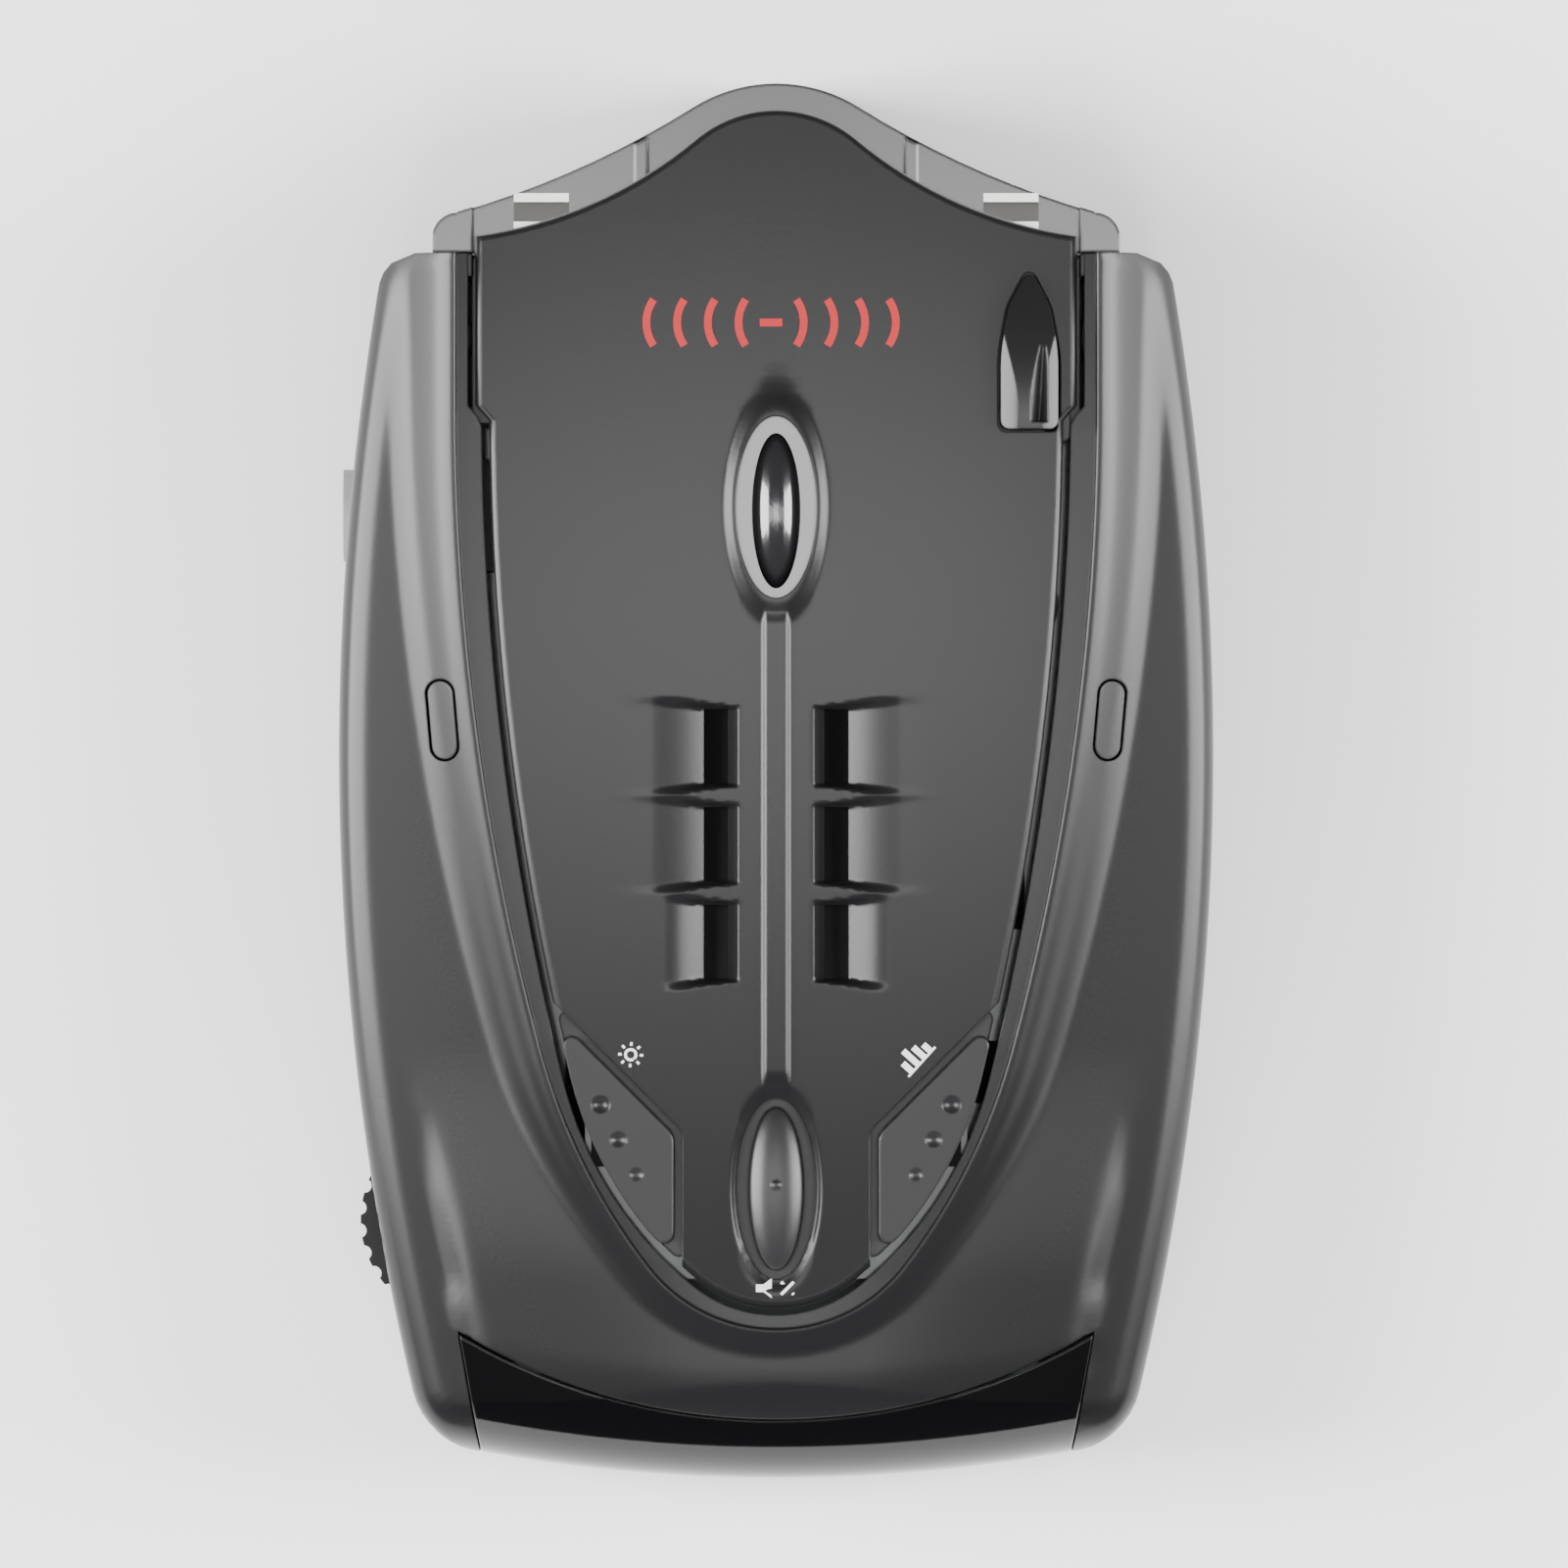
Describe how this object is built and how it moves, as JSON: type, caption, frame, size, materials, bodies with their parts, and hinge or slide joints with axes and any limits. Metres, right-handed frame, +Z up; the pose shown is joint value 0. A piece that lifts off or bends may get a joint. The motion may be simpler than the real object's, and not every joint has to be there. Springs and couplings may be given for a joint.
{
  "type": "radar detector",
  "caption": "Dash-mounted detector case with a drop-shaped panel, three keys, bracket release, volume wheel, power socket, display window and glossy nose.",
  "frame": {"origin": "centre of the footprint at the underside of the rubber feet", "axes": "+Y toward the windscreen, +X to the right-hand side seen from above, +Z up"},
  "size_m": [0.07, 0.1118, 0.0311],
  "materials": {
    "case_plastic": "soft satin moulding",
    "key_plastic": "fine satin moulding",
    "nose_plastic": "polished moulding",
    "window_plastic": "polished tinted moulding",
    "lens_plastic": "polished moulding",
    "pale_plastic": "moulded",
    "grey_plastic": "moulded",
    "foot_rubber": "matt",
    "spring_steel": "drawn",
    "screw_steel": "zinc plated",
    "black_steel": "blackened",
    "nickel": "nickel plated",
    "tin_plate": "tin plated",
    "die_cast": "as cast",
    "circuit_board": "solder resist",
    "chip_epoxy": "moulded epoxy",
    "can_sleeve": "sleeved can",
    "cone_paper": "pressed paper",
    "dust_mesh": "woven",
    "magnet": "ferrite between steel plates",
    "display_plastic": "moulded"
  },
  "bodies": {
    "case": {"lower_shell": "case_plastic", "upper_shell": "case_plastic", "centre_panel": "case_plastic", "front_lens": "nose_plastic", "display_window": "window_plastic", "laser_lens": "lens_plastic", "release_spring": "spring_steel", "bracket_clips": "nickel", "side_plug_left": "case_plastic", "side_plug_right": "case_plastic", "volume_pot": "grey_plastic", "jack_body": "grey_plastic", "jack_pin_post": "nickel", "rubber_feet": "foot_rubber", "case_screws": "black_steel", "main_board": "circuit_board", "board_screws": "screw_steel", "horn_antenna": "die_cast", "mixer_shield": "tin_plate", "board_chips": "chip_epoxy", "power_capacitors": "can_sleeve", "speaker_frame": "black_steel", "speaker_cone": "cone_paper", "speaker_magnet": "magnet", "speaker_mesh": "dust_mesh", "speaker_clamp": "case_plastic", "key_board": "circuit_board", "key_switches": "tin_plate", "panel_screws": "screw_steel", "laser_board": "circuit_board", "laser_diode": "lens_plastic", "display_board": "circuit_board", "display_module": "display_plastic", "display_header": "chip_epoxy", "front_sensor": "circuit_board"},
    "mute_key": {"mute_button": "key_plastic", "mute_plunger": "pale_plastic"},
    "dim_key": {"dim_button": "key_plastic", "dim_plunger": "pale_plastic"},
    "city_key": {"city_button": "key_plastic", "city_plunger": "pale_plastic"},
    "release_key": {"release_button": "case_plastic"},
    "volume_knob": {"volume_wheel": "case_plastic", "volume_shaft": "nickel"}
  },
  "joints": [
    {"name": "mute_press", "type": "slide", "parent": "case", "child": "mute_key", "axis": [0, 0, -1], "range_m": [0, 0.0005], "stiffness_N_per_m": 600, "springref_m": -0.0008},
    {"name": "dim_press", "type": "slide", "parent": "case", "child": "dim_key", "axis": [0, 0, -1], "range_m": [0, 0.0005], "stiffness_N_per_m": 600, "springref_m": -0.0008},
    {"name": "city_press", "type": "slide", "parent": "case", "child": "city_key", "axis": [0, 0, -1], "range_m": [0, 0.0005], "stiffness_N_per_m": 600, "springref_m": -0.0008},
    {"name": "release_press", "type": "slide", "parent": "case", "child": "release_key", "axis": [0, 0, -1], "range_m": [0, 0.0012], "stiffness_N_per_m": 500, "springref_m": -0.0015, "deforming": ["release_spring"]},
    {"name": "volume_turn", "type": "hinge", "parent": "case", "child": "volume_knob", "pos_m": [-0.02533, -0.0351, 0.0166], "axis": [0, 0, 1], "range_deg": [0, 280]}
  ]
}
